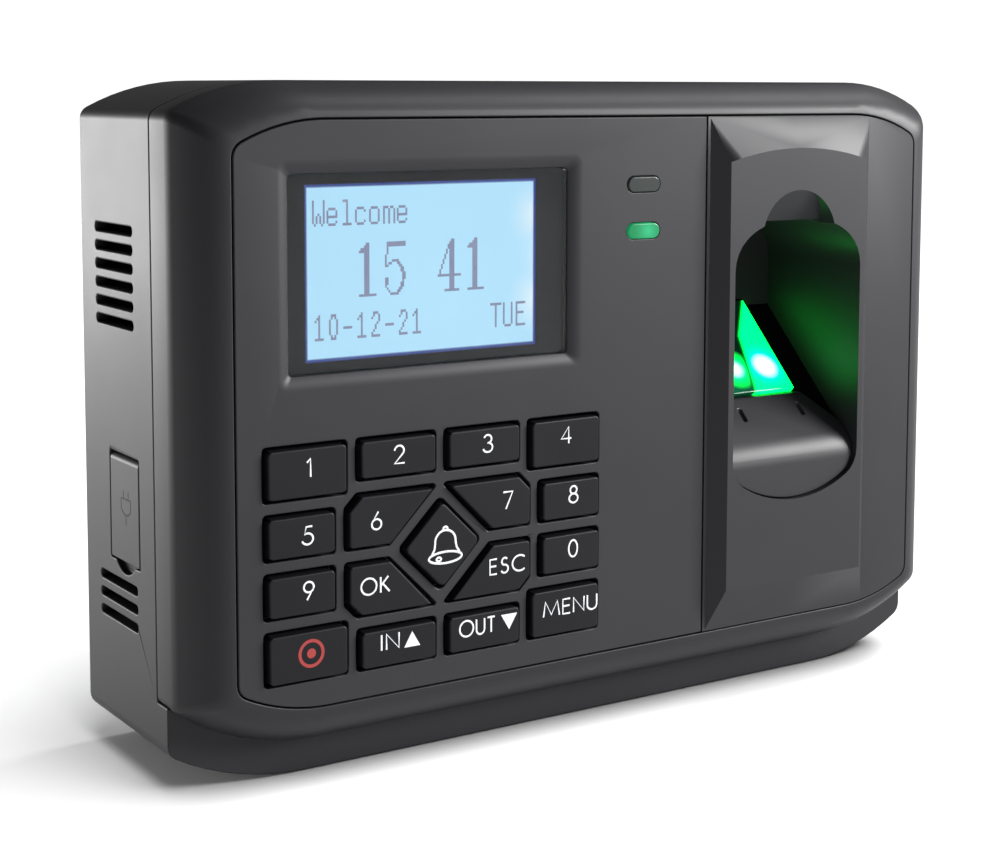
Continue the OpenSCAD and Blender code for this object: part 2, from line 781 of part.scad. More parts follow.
// ---- Socket behind the side door ----
usb_x = side_x + 4.2;
usb_z = (door_top_z + door_bottom_z) / 2;
usb_y = door_y;

module usb_socket() {
    color(steel) difference() {
        block(usb_x, usb_x + 18, usb_y - 3.6, board_y - board_t - 0.05, usb_z - 7.2, usb_z + 7.2);
        block(usb_x - 1, usb_x + 15, usb_y - 3.1, usb_y + 2.6, usb_z - 6.6, usb_z + 6.6);
    }
    color("white") block(usb_x + 2, usb_x + 15.5, usb_y - 1, usb_y + 1, usb_z - 5.8, usb_z + 5.8);
}

module usb_door() {
    low_y = door_y - door_w / 2 + door_gap;
    high_y = door_y + door_w / 2 - door_gap;
    color(black_abs) difference() {
        union() {
            block(side_x, side_x + door_t, low_y, high_y, door_bottom_z + door_gap, hinge_z);
            translate([hinge_x, low_y, hinge_z]) rotate([-90, 0, 0])
                cylinder(r = barrel_r, h = high_y - low_y);
        }
        translate([hinge_x, low_y - 1, hinge_z]) rotate([-90, 0, 0])
            cylinder(d = door_pin_d + 0.1, h = door_w + 2);
    }
}

module door_pin() {
    color(steel) translate([hinge_x, door_y, hinge_z]) rotate([90, 0, 0])
        cylinder(d = door_pin_d, h = door_pin_l, center = true);
}

// ---- Tamper switch that the wall plate presses ----
tamper_x = -25;
tamper_z = 34;
plunger_d = 3.6;
plunger_tip_y = -plate_t - 0.3;
switch_h = 7;
plunger_l = 9;

module at_tamper() {
    translate([tamper_x, 0, tamper_z]) rotate([90, 0, 0]) children();
}

module tamper_switch() {
    color("#151517") at_tamper() difference() {
        translate([-5, -5, -board_y - switch_h]) cube([10, 10, switch_h]);
        translate([0, 0, -board_y - switch_h - 1]) cylinder(d = plunger_d + 0.4, h = switch_h);
    }
}

module tamper_plunger() {
    color("#e2e2de") at_tamper() translate([0, 0, -plunger_tip_y]) cylinder(d = plunger_d, h = plunger_l);
}

// The spring is a short stack of rings that stands for its coils
module tamper_spring() {
    color(steel) at_tamper() for (i = [0:3]) translate([0, 0, -board_y - 1.3 - i * 0.3])
        rotate_extrude() translate([1, 0]) circle(d = 0.28, $fn = 16);
}

// ---- Flat cables between the boards ----
module panel_ribbon() {
    color("#c9ccd0") block(-28, -12, keypad_board_y + board_t, board_y - board_t, -8, -7.6);
}

module sensor_ribbon() {
    color("#c9ccd0") block(main_x[1] - 6, well_x - sensor_board_w / 2,
        board_y - board_t - 0.4, board_y - board_t, 20, 30);
}

// ---- Wall plate, its hooks and its screw ----
hook_x = 45;
hook_z = [-6, 40];
hook_w = 6;
hook_t = 1.5;
hook_fit = 0.1;
hook_slot_h = 8;
lip_w = 18;
plate_screw_y = -9;
plate_head_d = 5.5;
plate_head_h = 2;

module at_wall_screws() {
    for (x = [-1, 1], z = [-1, 1]) translate([x * wall_hole_x / 2, 0, z * wall_hole_z / 2])
        rotate([90, 0, 0]) children();
}

module wall_plate() {
    color(steel) difference() {
        along_y(-plate_t, 0) rounded_rect(plate_w, plate_h, 4);
        at_wall_screws() cylinder(d = wall_hole_d, h = 10, center = true);
        translate([0, 0, entry_z]) along_y(-plate_t - 1, 1) rounded_rect(entry_w, entry_h, 3);
    }
    // lip at the foot of the plate, which takes the locking screw
    color(steel) difference() {
        block(-lip_w / 2, lip_w / 2, -plate_t - 12, -plate_t + eps, -plate_h / 2, -plate_h / 2 + plate_t);
        translate([0, plate_screw_y, -plate_h / 2]) cylinder(d = 2.6, h = 10, center = true);
    }
}

// Bent hooks that the rear case hangs on
hook_tip_y = back_y - back_t - 2.4;

module wall_hooks() {
    color(steel) for (x = [-hook_x, hook_x], z = hook_z) translate([x, 0, z]) {
        block(-hook_w / 2, hook_w / 2, hook_tip_y, -plate_t, -hook_t / 2, hook_t / 2);
        block(-hook_w / 2, hook_w / 2, hook_tip_y, hook_tip_y + hook_t, -hook_t / 2, 3.4);
    }
}

module screw(length, d, head, head_height) {
    difference() {
        union() {
            cylinder(d = head, h = head_height);
            cylinder(d = d, h = length);
        }
        translate([0, 0, -1]) cylinder(d = head * 0.45, h = head_height / 2 + 1, $fn = 6);
    }
}

module case_screws() {
    color("#4a4c50") at_case_screws() translate([0, 0, -head_seat_y - head_h])
        screw(screw_l, screw_d, head_d, head_h);
}

module board_screws() {
    color(steel) at_board_screws() translate([0, 0, -board_y + board_t + 1.8]) mirror([0, 0, 1])
        screw(8, 2.5, 5, 1.8);
}

module plate_screw() {
    color("#4a4c50") translate([0, plate_screw_y, bottom_z + 0.1]) screw(18, 2.5, plate_head_d, plate_head_h);
}

module small_screw() {
    mirror([0, 0, 1]) screw(small_screw_l, pilot_d, 3.6, small_head_h);
}

// Small screws that hold the keypad board, the display board and the sensor board
module panel_screws() {
    color(steel) {
        for (p = keypad_posts) translate([p[0], keypad_board_y + board_t + small_head_h, p[1]])
            rotate([-90, 0, 0]) small_screw();
        for (p = display_posts) translate([p[0], display_board_y + board_t + small_head_h, p[1]])
            rotate([-90, 0, 0]) small_screw();
        for (p = sensor_posts) translate([p[0], housing_back_y + board_t + small_head_h, p[1]])
            rotate([-90, 0, 0]) small_screw();
    }
}

rear_case();
front_cover();
front_panel();
finger_cover();
finger_guide();
sensor_housing();
sensor_prism();
sensor_camera();
sensor_board();
display_window();
display_frame();
display_glass();
display_backlight();
display_board();
key_cap(0, 0);  // key_1
key_cap(1, 0);  // key_2
key_cap(2, 0);  // key_3
key_cap(3, 0);  // key_4
key_cap(0, 1);  // key_5
key_cap(1, 1);  // key_6
key_cap(2, 1);  // key_7
key_cap(3, 1);  // key_8
key_cap(0, 2);  // key_9
key_cap(1, 2);  // key_ok
key_cap(2, 2);  // key_esc
key_cap(3, 2);  // key_0
key_cap(0, 3);  // key_power
key_cap(1, 3);  // key_in
key_cap(2, 3);  // key_out
key_cap(3, 3);  // key_menu
key_bell();
keypad_mat();
keypad_board();
status_lens_upper();
status_lens_lower();
status_leds();
main_board();
processor();
memory_chips();
backup_battery();
battery_holder();
buzzer();
network_socket();
power_terminals();
lock_terminals();
usb_socket();
usb_door();
door_pin();
tamper_switch();
tamper_plunger();
tamper_spring();
panel_ribbon();
sensor_ribbon();
wall_plate();
wall_hooks();
case_screws();
board_screws();
panel_screws();
plate_screw();
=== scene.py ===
import math

import bmesh
import bpy
from mathutils import Matrix, Vector


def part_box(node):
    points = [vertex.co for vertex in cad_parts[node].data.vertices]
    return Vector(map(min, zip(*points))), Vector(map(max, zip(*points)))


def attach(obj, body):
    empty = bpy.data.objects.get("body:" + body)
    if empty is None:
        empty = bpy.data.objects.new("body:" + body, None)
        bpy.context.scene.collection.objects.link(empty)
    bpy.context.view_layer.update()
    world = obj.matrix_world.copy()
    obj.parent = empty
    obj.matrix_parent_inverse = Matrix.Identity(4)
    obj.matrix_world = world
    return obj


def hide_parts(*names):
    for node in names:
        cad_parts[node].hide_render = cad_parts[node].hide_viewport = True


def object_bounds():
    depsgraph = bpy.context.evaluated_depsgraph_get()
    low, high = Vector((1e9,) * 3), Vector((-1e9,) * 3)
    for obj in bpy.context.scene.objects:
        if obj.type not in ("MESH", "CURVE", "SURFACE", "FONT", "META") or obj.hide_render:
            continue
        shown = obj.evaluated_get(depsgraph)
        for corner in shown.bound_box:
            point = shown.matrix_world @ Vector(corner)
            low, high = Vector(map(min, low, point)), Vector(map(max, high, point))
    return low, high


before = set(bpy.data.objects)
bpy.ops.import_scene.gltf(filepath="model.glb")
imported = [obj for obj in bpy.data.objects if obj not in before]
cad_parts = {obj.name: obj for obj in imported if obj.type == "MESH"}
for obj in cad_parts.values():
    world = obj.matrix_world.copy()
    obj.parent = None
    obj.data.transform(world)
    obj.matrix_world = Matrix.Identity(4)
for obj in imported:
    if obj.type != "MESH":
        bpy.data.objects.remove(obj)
cad_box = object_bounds()

# ---- Camera ----
# A short telephoto lens, left of the terminal and a little above its middle.
camera_data = bpy.data.cameras.new("camera")
camera_data.sensor_width = 36
camera_data.lens = 68.5
camera_data.shift_y = -0.15
camera_data.clip_start = 0.01
camera = bpy.data.objects.new("camera", camera_data)
camera.location = (-0.22027, -0.34768, 0.06245)
camera.rotation_euler = (math.radians(90 - 5.433), math.radians(-0.1), math.radians(-33))
bpy.context.scene.collection.objects.link(camera)
bpy.context.scene.camera = camera

# ---- Rear case ----
# A deep tray of black ABS, injection moulded in a mould with a fine spark-eroded texture.
# The vents, the door opening and the chin under the front cover are part of it.


def linear(hex_code):
    """An sRGB hex colour as linear RGBA."""
    channels = [int(hex_code[i:i + 2], 16) / 255 for i in (1, 3, 5)]
    return [c / 12.92 if c <= 0.04045 else ((c + 0.055) / 1.055) ** 2.4 for c in channels] + [1]


def add_node(material, kind, inputs, **settings):
    """Adds a shader node. An input is a plain value, or another node's output to link to."""
    node = material.node_tree.nodes.new(kind)
    for name, value in settings.items():
        setattr(node, name, value)
    for socket, value in inputs.items():
        if isinstance(value, bpy.types.NodeSocket):
            material.node_tree.links.new(value, node.inputs[socket])
        else:
            node.inputs[socket].default_value = value
    return node


def new_material(name):
    """An empty material with its principled shader."""
    material = bpy.data.materials.new(name)
    material.use_nodes = True
    shader = material.node_tree.nodes["Principled BSDF"]
    return material, shader


def moulded_plastic(name, dark, light, roughness, grain_mm, grain_depth_mm, sheen=0.2):
    """Moulded plastic: the mould's grain as bump, and faint flow marks in colour and gloss."""
    material, shader = new_material(name)
    where = add_node(material, "ShaderNodeTexCoord", {}).outputs["Object"]
    flow = add_node(material, "ShaderNodeTexNoise", {"Vector": where, "Scale": 45.0, "Detail": 4.0})
    colour = add_node(material, "ShaderNodeMixRGB",
                      {"Fac": flow.outputs["Fac"], "Color1": linear(dark), "Color2": linear(light)})
    material.node_tree.links.new(colour.outputs["Color"], shader.inputs["Base Color"])
    gloss = add_node(material, "ShaderNodeMapRange",
                     {"Value": flow.outputs["Fac"], "To Min": roughness - 0.04,
                      "To Max": roughness + 0.04})
    material.node_tree.links.new(gloss.outputs["Result"], shader.inputs["Roughness"])
    grain = add_node(material, "ShaderNodeTexNoise",
                     {"Vector": where, "Scale": 1000 / grain_mm, "Detail": 2.0})
    bump = add_node(material, "ShaderNodeBump",
                    {"Height": grain.outputs["Fac"], "Strength": 0.5,
                     "Distance": grain_depth_mm / 1000})
    material.node_tree.links.new(bump.outputs["Normal"], shader.inputs["Normal"])
    shader.inputs["IOR"].default_value = 1.53
    shader.inputs["Specular IOR Level"].default_value = sheen
    return material


def only(piece):
    """Selects one piece and nothing else."""
    for other in bpy.context.selected_objects:
        other.select_set(False)
    piece.select_set(True)
    bpy.context.view_layer.objects.active = piece


def moulding(node, name, edge_mm, material, body="case", cuts=(), merge_mm=0.015, rims=()):
    """A moulded piece with the CAD node's shape, its sharp edges rounded as a mould leaves them.

    A cut is a plane, as a point and a normal, that divides a flat face which has a hole in it.
    A rim is a depth, a width and a least angle: only edges at that depth are rounded.
    """
    piece = bpy.data.objects.new(name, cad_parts[node].data.copy())
    bpy.context.scene.collection.objects.link(piece)
    only(piece)
    bpy.ops.mesh.customdata_custom_splitnormals_clear()
    bpy.ops.object.mode_set(mode="EDIT")
    bpy.ops.mesh.select_all(action="SELECT")
    bpy.ops.mesh.remove_doubles(threshold=merge_mm / 1000)
    for point, normal in cuts:
        bpy.ops.mesh.select_all(action="SELECT")
        bpy.ops.mesh.bisect(plane_co=point, plane_no=normal)
        bpy.ops.mesh.mark_seam()
    bpy.ops.mesh.select_all(action="SELECT")
    bpy.ops.mesh.dissolve_limited(angle_limit=math.radians(0.6), delimit={"SEAM"})
    bpy.ops.mesh.select_mode(type="EDGE")
    for depth, width_mm, least_angle in rims:
        bpy.ops.mesh.select_all(action="DESELECT")
        edit = bmesh.from_edit_mesh(piece.data)
        for edge in edit.edges:
            level = all(abs(v.co.y - depth) < 0.00004 for v in edge.verts)
            edge.select_set(level and math.degrees(edge.calc_face_angle(0)) > least_angle)
        bmesh.update_edit_mesh(piece.data)
        bpy.ops.mesh.bevel(offset=width_mm / 1000, segments=4, clamp_overlap=True)
    bpy.ops.mesh.select_mode(type="VERT")
    bpy.ops.object.mode_set(mode="OBJECT")
    if edge_mm:
        bevel = piece.modifiers.new("edge", "BEVEL")
        bevel.width = edge_mm / 1000
        bevel.segments = 3
        bevel.limit_method = "ANGLE"
        bevel.angle_limit = math.radians(32)
        bevel.use_clamp_overlap = False
        bevel.miter_outer = "MITER_ARC"
        bpy.ops.object.modifier_apply(modifier="edge")
    bpy.ops.object.shade_smooth_by_angle(angle=math.radians(34))
    weights = piece.modifiers.new("weights", "WEIGHTED_NORMAL")
    weights.keep_sharp = True
    bpy.ops.object.modifier_apply(modifier="weights")
    piece.data.materials.clear()
    piece.data.materials.append(material)
    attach(piece, body)
    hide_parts(node)


# ABS with a spark-eroded mould texture: matt black that goes grey where light grazes it.
# The texture is about 0.3 mm from peak to peak.
case_abs = moulded_plastic("textured_black_abs", "#1b1b1e", "#1f1f22", 0.47, 0.3, 0.02)
moulding("rear_case", "rear_case_shell", 0.35, case_abs)

# ---- Front cover ----
# The frame round the panels, moulded in the same textured ABS as the rear case.
# It is screwed on from behind, and its four sides fall away in a soft curve.
# Planes through the middle of the finger well split the flat faces that have its hole in them.
well_middle = (0.04585, -0.04, 0.00625)
well_cuts = [(well_middle, (1, 0, 0)), (well_middle, (0, 0, 1))]
moulding("front_cover", "front_cover_shell", 0.25, case_abs, cuts=well_cuts)

# ---- Front panel ----
# The inset panel for the display, the lights and the keys, in ABS with a finer texture.
# It is a separate moulding, bonded on the cover's ledge with a shadow gap round it.
panel_abs = moulded_plastic("fine_textured_black_abs", "#202023", "#242427", 0.45, 0.25, 0.014)
moulding("front_panel", "front_panel_shell", 0.25, panel_abs)

# ---- Finger cover ----
# The right-hand panel with its raised boss, the well and the nail notch, in the same fine ABS.
# Only the edges of the boss's face are rounded.
boss_face_y = -0.052
moulding("finger_cover", "finger_cover_shell", 0, panel_abs, cuts=well_cuts,
         rims=[(boss_face_y, 0.4, 12)])

# ---- Finger guide ----
# A smooth tongue of satin ABS that leads the fingertip up to the sensor, clipped in the well.
guide_abs = moulded_plastic("satin_dark_abs", "#222225", "#272729", 0.42, 0.4, 0.006)
moulding("finger_guide", "finger_guide_shell", 0.3, guide_abs)

# ---- Sensor housing ----
# Dead-black moulding that holds the prism and keeps stray light out of the camera.
housing_abs = moulded_plastic("matt_black_abs", "#050505", "#080808", 0.8, 0.3, 0.01, sheen=0.02)
moulding("sensor_housing", "sensor_housing_shell", 0, housing_abs,
         cuts=well_cuts)

# ---- Sensor prism ----
# Polished optical plastic, edge-lit by green LEDs under it. The upper face is the one that a
# finger lies on. Its glow is brighter and paler round two spots.


def spot(material, where, at, size_mm, power=2.0):
    """A soft round patch: 1 at its centre, falling to 0 at its size."""
    apart = add_node(material, "ShaderNodeVectorMath", {0: where, 1: at}, operation="DISTANCE")
    near = add_node(material, "ShaderNodeMapRange",
                    {"Value": apart.outputs["Value"], "From Min": 0.0, "From Max": size_mm / 1000,
                     "To Min": 1.0, "To Max": 0.0})
    return add_node(material, "ShaderNodeMath", {0: near.outputs["Result"], 1: power},
                    operation="POWER").outputs[0]


prism_plastic, prism_shader = new_material("lit_optical_prism")
prism_where = add_node(prism_plastic, "ShaderNodeTexCoord", {}).outputs["Object"]
prism_haze = add_node(prism_plastic, "ShaderNodeTexNoise",
                      {"Vector": prism_where, "Scale": 180.0, "Detail": 3.0})
# The centres of the two brighter, paler spots in the glow.
left_glow_spot = (0.0425, -0.0356, 0.0028)
right_glow_spot = (0.0511, -0.0356, 0.0028)
prism_left = spot(prism_plastic, prism_where, left_glow_spot, 5.5)
prism_right = spot(prism_plastic, prism_where, right_glow_spot, 7.0)
prism_light = add_node(prism_plastic, "ShaderNodeMath", {0: prism_left, 1: prism_right},
                       operation="ADD").outputs[0]
prism_ramp = add_node(prism_plastic, "ShaderNodeValToRGB", {"Fac": prism_light})
prism_ramp.color_ramp.elements[0].position = 0.0
prism_ramp.color_ramp.elements[0].color = (0.0, 0.8, 0.045, 1)
prism_ramp.color_ramp.elements[1].position = 0.8
prism_ramp.color_ramp.elements[1].color = (0.3, 1, 0.5, 1)
prism_mid = prism_ramp.color_ramp.elements.new(0.25)
prism_mid.color = (0.0, 1, 0.1, 1)
prism_strength = add_node(prism_plastic, "ShaderNodeMapRange",
                          {"Value": prism_haze.outputs["Fac"], "To Min": 7.0, "To Max": 10.0})
# The glow is put out left of a line that runs up the prism, save round the left spot, and is
# dimmed along the line itself.
prism_split = add_node(prism_plastic, "ShaderNodeSeparateXYZ", {"Vector": prism_where})
line_slope = 0.372
line_foot_x = 0.0452
line_bend_z = 0.0089
slope_past_bend = 0.6
line_low = add_node(prism_plastic, "ShaderNodeMath",
                    {0: prism_split.outputs["Z"], 1: line_slope, 2: line_foot_x},
                    operation="MULTIPLY_ADD")
above = add_node(prism_plastic, "ShaderNodeMath",
                 {0: prism_split.outputs["Z"], 1: line_bend_z}, operation="SUBTRACT")
above = add_node(prism_plastic, "ShaderNodeMath", {0: above.outputs[0], 1: 0.0},
                 operation="MAXIMUM")
line_x = add_node(prism_plastic, "ShaderNodeMath",
                  {0: above.outputs[0], 1: slope_past_bend, 2: line_low.outputs[0]},
                  operation="MULTIPLY_ADD")
side = add_node(prism_plastic, "ShaderNodeMath",
                {0: prism_split.outputs["X"], 1: line_x.outputs[0]}, operation="SUBTRACT")
right_of_line = add_node(prism_plastic, "ShaderNodeMapRange",
                         {"Value": side.outputs[0], "From Min": -0.0003, "From Max": 0.0005})
near_left = spot(prism_plastic, prism_where, left_glow_spot, 5.6, 1.2)
lit_part = add_node(prism_plastic, "ShaderNodeMath",
                    {0: right_of_line.outputs[0], 1: near_left}, operation="MAXIMUM")
line_gap = add_node(prism_plastic, "ShaderNodeMath", {0: side.outputs[0]}, operation="ABSOLUTE")
line_gap = add_node(prism_plastic, "ShaderNodeMapRange",
                    {"Value": line_gap.outputs[0], "From Max": 0.0009, "To Min": 0.08})
glow = add_node(prism_plastic, "ShaderNodeMath", {0: lit_part.outputs[0], 1: line_gap.outputs[0]},
                operation="MULTIPLY")
glow = add_node(prism_plastic, "ShaderNodeMath",
                {0: glow.outputs[0], 1: prism_strength.outputs["Result"]}, operation="MULTIPLY")
prism_plastic.node_tree.links.new(prism_ramp.outputs["Color"],
                                  prism_shader.inputs["Emission Color"])
prism_plastic.node_tree.links.new(glow.outputs[0], prism_shader.inputs["Emission Strength"])
prism_shader.inputs["Base Color"].default_value = linear("#0f5a38")
prism_shader.inputs["Roughness"].default_value = 0.06
prism_shader.inputs["IOR"].default_value = 1.49
moulding("sensor_prism", "sensor_prism_block", 0.2, prism_plastic)

# ---- Display window ----
# Clear acrylic with an anti-glare hard coat, bonded in the recess. The coat takes most of the
# reflection away, so its index is set lower than plain acrylic's. Its back has a black border.
clear_acrylic, acrylic_shader = new_material("clear_hard_coated_acrylic")
acrylic_where = add_node(clear_acrylic, "ShaderNodeTexCoord", {}).outputs["Object"]
acrylic_smears = add_node(clear_acrylic, "ShaderNodeTexNoise",
                          {"Vector": acrylic_where, "Scale": 60.0, "Detail": 3.0})
acrylic_gloss = add_node(clear_acrylic, "ShaderNodeMapRange",
                         {"Value": acrylic_smears.outputs["Fac"], "To Min": 0.03, "To Max": 0.09})
clear_acrylic.node_tree.links.new(acrylic_gloss.outputs["Result"],
                                  acrylic_shader.inputs["Roughness"])
acrylic_shader.inputs["Base Color"].default_value = linear("#f2f6f8")
acrylic_shader.inputs["Transmission Weight"].default_value = 1.0
acrylic_shader.inputs["IOR"].default_value = 1.25
moulding("display_window", "display_window_sheet", 0.15, clear_acrylic)

# The printed border: a thin black sheet with an opening for the lit area.
window_low, window_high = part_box("display_window")
lit_centre = Vector((-0.0412, 0, 0.02965))
lit_size = Vector((0.0496, 0, 0.0319))
border_ink = moulded_plastic("black_screen_ink", "#08080a", "#0b0b0d", 0.5, 0.2, 0.002, sheen=0.1)
bpy.ops.object.select_all(action="DESELECT")
bpy.ops.mesh.primitive_plane_add(size=1, location=(0, 0, 0), rotation=(math.radians(90), 0, 0))
border = bpy.context.active_object
border.name = "display_border_print"
bpy.ops.object.transform_apply(location=True, rotation=True, scale=True)
trim = 0.0004
border.data.transform(Matrix.Diagonal(
    (window_high.x - window_low.x - trim, 1, window_high.z - window_low.z - trim, 1)))
bpy.ops.object.mode_set(mode="EDIT")
bpy.ops.mesh.select_all(action="SELECT")
bpy.ops.mesh.inset(thickness=0.001)
edit = bmesh.from_edit_mesh(border.data)
opening = [f for f in edit.faces if f.select][0]
middle = (window_low + window_high) / 2
for corner in opening.verts:
    reach = Vector((math.copysign(lit_size.x / 2, corner.co.x), 0,
                    math.copysign(lit_size.z / 2, corner.co.z)))
    corner.co = lit_centre - Vector((middle.x, 0, middle.z)) + reach
bmesh.update_edit_mesh(border.data)
bpy.ops.mesh.delete(type="FACE")
bpy.ops.object.mode_set(mode="OBJECT")
border.data.transform(Matrix.Translation((middle.x, window_high.y + 0.00005, middle.z)))
thickness = border.modifiers.new("thickness", "SOLIDIFY")
thickness.thickness = 0.00006
thickness.offset = 0
bpy.ops.object.modifier_apply(modifier="thickness")
border.data.materials.append(border_ink)
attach(border, "case")

# ---- Display glass ----
# The glass of the dot display, lit pale blue from behind, with two lamps near its right edge
# that show as white patches, and a thin dark blue line round the lit area.
lit_glass, glass_shader = new_material("lit_display_glass")
glass_where = add_node(lit_glass, "ShaderNodeTexCoord", {}).outputs["Object"]
glass_face_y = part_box("display_glass")[0].y
lamp_x = -0.0158
glass_lamps = []
for lamp_z, lamp_size in ((0.0385, 7.5), (0.0225, 7.5), (0.0305, 5.0)):
    glass_lamps.append(spot(lit_glass, glass_where, (lamp_x, glass_face_y, lamp_z), lamp_size, 1.6))
lamps = add_node(lit_glass, "ShaderNodeMath", {0: glass_lamps[0], 1: glass_lamps[1]},
                 operation="ADD").outputs[0]
lamps = add_node(lit_glass, "ShaderNodeMath", {0: glass_lamps[2], 1: 0.45, 2: lamps},
                 operation="MULTIPLY_ADD", use_clamp=True).outputs[0]
glass_mottle = add_node(lit_glass, "ShaderNodeTexNoise",
                        {"Vector": glass_where, "Scale": 35.0, "Detail": 1.0})
glass_ramp = add_node(lit_glass, "ShaderNodeValToRGB", {"Fac": lamps})
glass_ramp.color_ramp.elements[0].color = linear("#b6e6ff")
glass_ramp.color_ramp.elements[1].color = linear("#f6fdff")
glass_split = add_node(lit_glass, "ShaderNodeSeparateXYZ", {"Vector": glass_where})
edges = []
for axis, centre, half in (("X", lit_centre.x, lit_size.x / 2),
                           ("Z", lit_centre.z, lit_size.z / 2)):
    offset = add_node(lit_glass, "ShaderNodeMath", {0: glass_split.outputs[axis], 1: centre},
                      operation="SUBTRACT")
    away = add_node(lit_glass, "ShaderNodeMath", {0: offset.outputs[0]}, operation="ABSOLUTE")
    edges.append(add_node(lit_glass, "ShaderNodeMath", {0: away.outputs[0], 1: half},
                          operation="SUBTRACT").outputs[0])
edge = add_node(lit_glass, "ShaderNodeMath", {0: edges[0], 1: edges[1]},
                operation="MAXIMUM").outputs[0]
line = add_node(lit_glass, "ShaderNodeMapRange",
                {"Value": edge, "From Min": -0.0007, "From Max": -0.0004}).outputs[0]
past = add_node(lit_glass, "ShaderNodeMapRange",
                {"Value": edge, "From Min": 0.0, "From Max": 0.0001}).outputs[0]
line_mix = add_node(lit_glass, "ShaderNodeMixRGB",
                    {"Fac": line, "Color1": glass_ramp.outputs["Color"],
                     "Color2": linear("#1d2f86")})
edge_mix = add_node(lit_glass, "ShaderNodeMixRGB",
                    {"Fac": past, "Color1": line_mix.outputs["Color"], "Color2": linear("#000000")})
lit_glass.node_tree.links.new(edge_mix.outputs["Color"], glass_shader.inputs["Emission Color"])
glass_power = add_node(lit_glass, "ShaderNodeMapRange",
                       {"Value": glass_mottle.outputs["Fac"], "To Min": 0.9, "To Max": 0.96})
lit_glass.node_tree.links.new(glass_power.outputs["Result"],
                              glass_shader.inputs["Emission Strength"])
glass_shader.inputs["Base Color"].default_value = linear("#20303a")
glass_shader.inputs["Roughness"].default_value = 0.2
moulding("display_glass", "display_glass_sheet", 0.1, lit_glass)

# ---- Display dots ----
# The dots that the display darkens: a greeting, the time, the date and the weekday.
# Each is a cell of the glass, on a grid of 128 by 64 dots.
columns, rows = 128, 64
dot_x = 0.000362
dot_z = 0.000468
# A sign is a list of strokes from point to point, in columns and rows from its top left.
small_signs = {
    "W": [[(0, 0), (0, 8), (1, 9), (3, 5), (5, 9), (6, 8), (6, 0)]],
    "e": [[(0, 6), (5, 6), (5, 4), (4, 3), (1, 3), (0, 4), (0, 8), (1, 9), (4, 9), (5, 8)]],
    "l": [[(1, 0), (3, 0), (3, 9)], [(1, 9), (5, 9)]],
    "c": [[(5, 4), (4, 3), (1, 3), (0, 4), (0, 8), (1, 9), (4, 9), (5, 8)]],
    "o": [[(1, 3), (4, 3), (5, 4), (5, 8), (4, 9), (1, 9), (0, 8), (0, 4), (1, 3)]],
    "m": [[(0, 9), (0, 3), (2, 3), (3, 4), (3, 9)], [(3, 4), (4, 3), (5, 3), (6, 4), (6, 9)]],
    "1": [[(1, 2), (3, 0), (3, 9)], [(1, 9), (5, 9)]],
    "0": [[(2, 0), (4, 0), (5, 2), (5, 7), (4, 9), (2, 9), (1, 7), (1, 2), (2, 0)]],
    "2": [[(1, 2), (2, 0), (4, 0), (5, 1), (5, 3), (1, 8), (1, 9), (5, 9)]],
    "-": [[(1, 5), (5, 5)]],
    "T": [[(0, 0), (6, 0)], [(3, 0), (3, 9)]],
    "U": [[(0, 0), (0, 8), (1, 9), (4, 9), (5, 8), (5, 0)]],
    "E": [[(5, 0), (0, 0), (0, 9), (5, 9)], [(0, 4), (4, 4)]],
}
tall_signs = {
    "1": [[(6, 1), (6, 19)], [(7, 0), (7, 19)], [(8, 0), (8, 19)], [(3, 3), (6, 3)],
          [(4, 2), (6, 2)], [(3, 20), (12, 20)]],
    "5": [[(3, 0), (13, 0)], [(3, 1), (13, 1)], [(3, 0), (2, 9)],
          [(3, 9), (6, 7), (9, 7), (12, 10), (13, 13), (12, 17), (9, 20), (5, 20), (2, 17),
           (2, 14)],
          [(9, 8), (11, 10), (12, 13), (11, 17), (9, 19)], [(3, 16), (3, 14)]],
    "4": [[(8, 1), (8, 19)], [(9, 0), (9, 19)], [(10, 0), (10, 19)], [(8, 1), (1, 14)],
          [(1, 14), (14, 14)], [(5, 20), (13, 20)]],
}
lines = [(small_signs, "Welcome", 0, 4, 8), (tall_signs, "15 41", 23, 21, 16),
         (small_signs, "10-12-21", 0, 48, 8), (small_signs, "TUE", 104, 48, 8)]
dark_dots = set()
for signs, words, first_column, first_row, pitch in lines:
    for place, sign in enumerate(words):
        for stroke in signs.get(sign, []):
            for (x0, z0), (x1, z1) in zip(stroke, stroke[1:]):
                steps = max(abs(x1 - x0), abs(z1 - z0), 1)
                for step in range(steps + 1):
                    column = first_column + place * pitch + round(x0 + (x1 - x0) * step / steps)
                    dark_dots.add((column, first_row + round(z0 + (z1 - z0) * step / steps)))
bpy.ops.object.select_all(action="DESELECT")
bpy.ops.mesh.primitive_grid_add(x_subdivisions=columns, y_subdivisions=rows, size=1,
                                location=(0, 0, 0))
dots = bpy.context.active_object
dots.name = "display_dots"
dots.data.transform(Matrix.Diagonal((columns, rows, 1, 1)))
bpy.ops.object.mode_set(mode="EDIT")
bpy.ops.mesh.select_all(action="DESELECT")
edit = bmesh.from_edit_mesh(dots.data)
for face in edit.faces:
    centre = face.calc_center_median()
    cell = (math.floor(centre.x + columns / 2), math.floor(rows / 2 - centre.y))
    face.select_set(cell not in dark_dots)
bmesh.update_edit_mesh(dots.data)
bpy.ops.mesh.delete(type="FACE")
bpy.ops.mesh.select_all(action="SELECT")
bpy.ops.mesh.inset(thickness=0.1, use_individual=True)
bpy.ops.mesh.select_all(action="INVERT")
bpy.ops.mesh.delete(type="FACE")
bpy.ops.mesh.select_all(action="SELECT")
bpy.ops.mesh.extrude_region_move(TRANSFORM_OT_translate={"value": (0, 0, 0.00004)})
bpy.ops.object.mode_set(mode="OBJECT")
